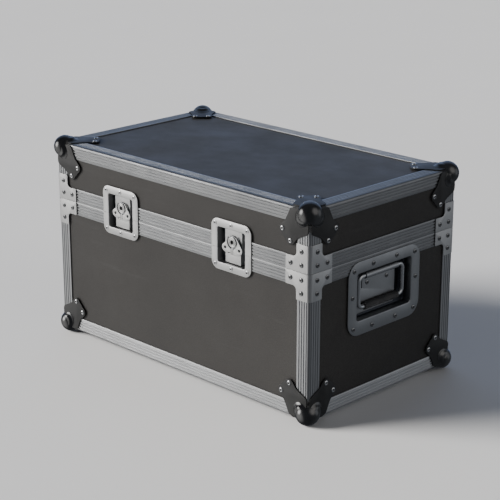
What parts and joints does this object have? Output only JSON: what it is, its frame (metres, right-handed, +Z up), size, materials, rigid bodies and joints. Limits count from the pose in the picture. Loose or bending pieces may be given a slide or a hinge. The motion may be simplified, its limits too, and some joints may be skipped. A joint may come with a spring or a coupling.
{
  "type": "hard equipment case",
  "caption": "Road case of laminate panels in double-angle aluminium edges, with ball corners, recessed butterfly latches, recessed drop handles and a rear-hinged lid.",
  "frame": {"origin": "on the floor, under the middle of the case's bounding box", "axes": "+X along the case's length towards its right end, +Y from the latches to the hinges, +Z up"},
  "size_m": [0.634, 0.377, 0.371],
  "materials": {
    "panel_laminate": "plywood faced with a dark grey, finely textured laminate",
    "edge_aluminium": "satin natural extrusion, grooved along its length",
    "corner_black": "black coated steel, glossy on the ball and satin on the legs",
    "brace_zinc": "bright zinc plate, lightly brushed",
    "latch_zinc": "bright zinc plate",
    "handle_zinc": "zinc plate",
    "grip_rubber": "matt moulded rubber",
    "rivet_steel": "domed rivet heads",
    "foam": "charcoal closed-cell foam"
  },
  "bodies": {
    "base": {"base_front_panel": "panel_laminate", "base_right_panel": "panel_laminate", "base_back_panel": "panel_laminate", "base_left_panel": "panel_laminate", "base_floor_panel": "panel_laminate", "base_bottom_frame": "edge_aluminium", "base_rim_frame": "edge_aluminium", "base_rim_front_bar": "edge_aluminium", "base_ball_corner_front_left": "corner_black", "base_brace_front_left": "brace_zinc", "base_ball_corner_front_right": "corner_black", "base_brace_front_right": "brace_zinc", "base_ball_corner_back_right": "corner_black", "base_brace_back_right": "brace_zinc", "base_ball_corner_back_left": "corner_black", "base_brace_back_left": "brace_zinc", "latch_base_dish_left": "latch_zinc", "handle_dish_left": "handle_zinc", "handle_cradle_left": "handle_zinc", "hinge_base_leaf_left": "brace_zinc", "hinge_pin_left": "brace_zinc", "latch_base_dish_right": "latch_zinc", "handle_dish_right": "handle_zinc", "handle_cradle_right": "handle_zinc", "hinge_base_leaf_right": "brace_zinc", "hinge_pin_right": "brace_zinc", "base_foam_lining": "foam"},
    "lid": {"lid_front_panel": "panel_laminate", "lid_right_panel": "panel_laminate", "lid_back_panel": "panel_laminate", "lid_left_panel": "panel_laminate", "lid_top_panel": "panel_laminate", "lid_top_frame": "edge_aluminium", "lid_rim_frame": "edge_aluminium", "lid_rim_front_bar": "edge_aluminium", "lid_ball_corner_front_left": "corner_black", "lid_brace_front_left": "brace_zinc", "lid_ball_corner_front_right": "corner_black", "lid_brace_front_right": "brace_zinc", "lid_ball_corner_back_right": "corner_black", "lid_brace_back_right": "brace_zinc", "lid_ball_corner_back_left": "corner_black", "lid_brace_back_left": "brace_zinc", "latch_lid_dish_left": "latch_zinc", "hinge_lid_leaf_left": "brace_zinc", "latch_lid_dish_right": "latch_zinc", "hinge_lid_leaf_right": "brace_zinc", "lid_foam_lining": "foam"},
    "latch_left": {"latch_drive_left": "latch_zinc"},
    "hook_left": {"latch_hook_left": "latch_zinc"},
    "wing_left_of_left": {"latch_wing_left_of_left": "latch_zinc"},
    "wing_right_of_left": {"latch_wing_right_of_left": "latch_zinc"},
    "latch_right": {"latch_drive_right": "latch_zinc"},
    "hook_right": {"latch_hook_right": "latch_zinc"},
    "wing_left_of_right": {"latch_wing_left_of_right": "latch_zinc"},
    "wing_right_of_right": {"latch_wing_right_of_right": "latch_zinc"},
    "handle_left": {"handle_bail_left": "handle_zinc", "handle_grip_left": "grip_rubber"},
    "handle_right": {"handle_bail_right": "handle_zinc", "handle_grip_right": "grip_rubber"}
  },
  "joints": [
    {"name": "lid_hinge", "type": "hinge", "parent": "base", "child": "lid", "pos_m": [0, 0.183, 0.257], "axis": [-1, 0, 0], "range_deg": [0, 100]},
    {"name": "latch_turn_left", "type": "hinge", "parent": "lid", "child": "latch_left", "pos_m": [-0.1363, -0.1755, 0.2622], "axis": [0, -1, 0], "range_deg": [0, 180]},
    {"name": "hook_slide_left", "type": "slide", "parent": "lid", "child": "hook_left", "axis": [0, 0, -1], "range_m": [0, 0.0157]},
    {"name": "wing_fold_left_of_left", "type": "hinge", "parent": "latch_left", "child": "wing_left_of_left", "pos_m": [-0.1395, -0.1766, 0.257], "axis": [0, 0, 1], "range_deg": [0, 90]},
    {"name": "wing_fold_right_of_left", "type": "hinge", "parent": "latch_left", "child": "wing_right_of_left", "pos_m": [-0.1331, -0.1766, 0.257], "axis": [0, 0, -1], "range_deg": [0, 90]},
    {"name": "latch_turn_right", "type": "hinge", "parent": "lid", "child": "latch_right", "pos_m": [0.1363, -0.1755, 0.2622], "axis": [0, -1, 0], "range_deg": [0, 180]},
    {"name": "hook_slide_right", "type": "slide", "parent": "lid", "child": "hook_right", "axis": [0, 0, -1], "range_m": [0, 0.0157]},
    {"name": "wing_fold_left_of_right", "type": "hinge", "parent": "latch_right", "child": "wing_left_of_right", "pos_m": [0.1331, -0.1766, 0.257], "axis": [0, 0, 1], "range_deg": [0, 90]},
    {"name": "wing_fold_right_of_right", "type": "hinge", "parent": "latch_right", "child": "wing_right_of_right", "pos_m": [0.1395, -0.1766, 0.257], "axis": [0, 0, -1], "range_deg": [0, 90]},
    {"name": "handle_drop_left", "type": "hinge", "parent": "base", "child": "handle_left", "pos_m": [-0.2995, 0, 0.221], "axis": [0, 1, 0], "range_deg": [0, 90]},
    {"name": "handle_drop_right", "type": "hinge", "parent": "base", "child": "handle_right", "pos_m": [0.2995, 0, 0.221], "axis": [0, -1, 0], "range_deg": [0, 90]}
  ],
  "couplings": [
    {"joint": "hook_slide_left", "follows": "latch_turn_left", "m_per_rad": 0.004966},
    {"joint": "hook_slide_right", "follows": "latch_turn_right", "m_per_rad": 0.004966}
  ]
}
